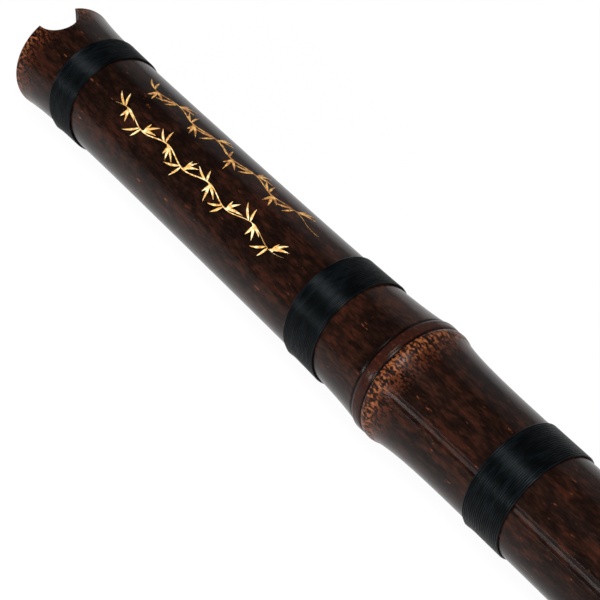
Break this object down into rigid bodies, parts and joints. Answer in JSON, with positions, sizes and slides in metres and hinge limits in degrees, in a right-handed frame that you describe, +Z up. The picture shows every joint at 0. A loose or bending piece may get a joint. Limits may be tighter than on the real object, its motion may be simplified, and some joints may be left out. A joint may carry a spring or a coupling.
{
  "type": "xiao",
  "caption": "End-blown vertical bamboo flute: a noded tube with a U notch at the blowing edge, round finger holes, vents and glossy thread bindings.",
  "frame": {"origin": "middle of the box round the part, on the surface that its node rings rest on", "axes": "X along the pipe from the blowing end (-X) to the foot (+X), Z up through the front finger holes and the notch, thumb hole down"},
  "size_m": [0.7652, 0.0292, 0.0292],
  "materials": {
    "bamboo": "polished dark brown bamboo with rust-coloured flecks",
    "thread": "black nylon thread, wound tight, glossy"
  },
  "bodies": {
    "root": {"bamboo_pipe": "bamboo", "mouth_binding": "thread", "upper_node_binding": "thread", "lower_node_binding": "thread", "thumb_hole_binding": "thread", "middle_hole_binding": "thread", "low_hole_binding": "thread", "vent_binding": "thread", "foot_binding": "thread"}
  },
  "joints": []
}
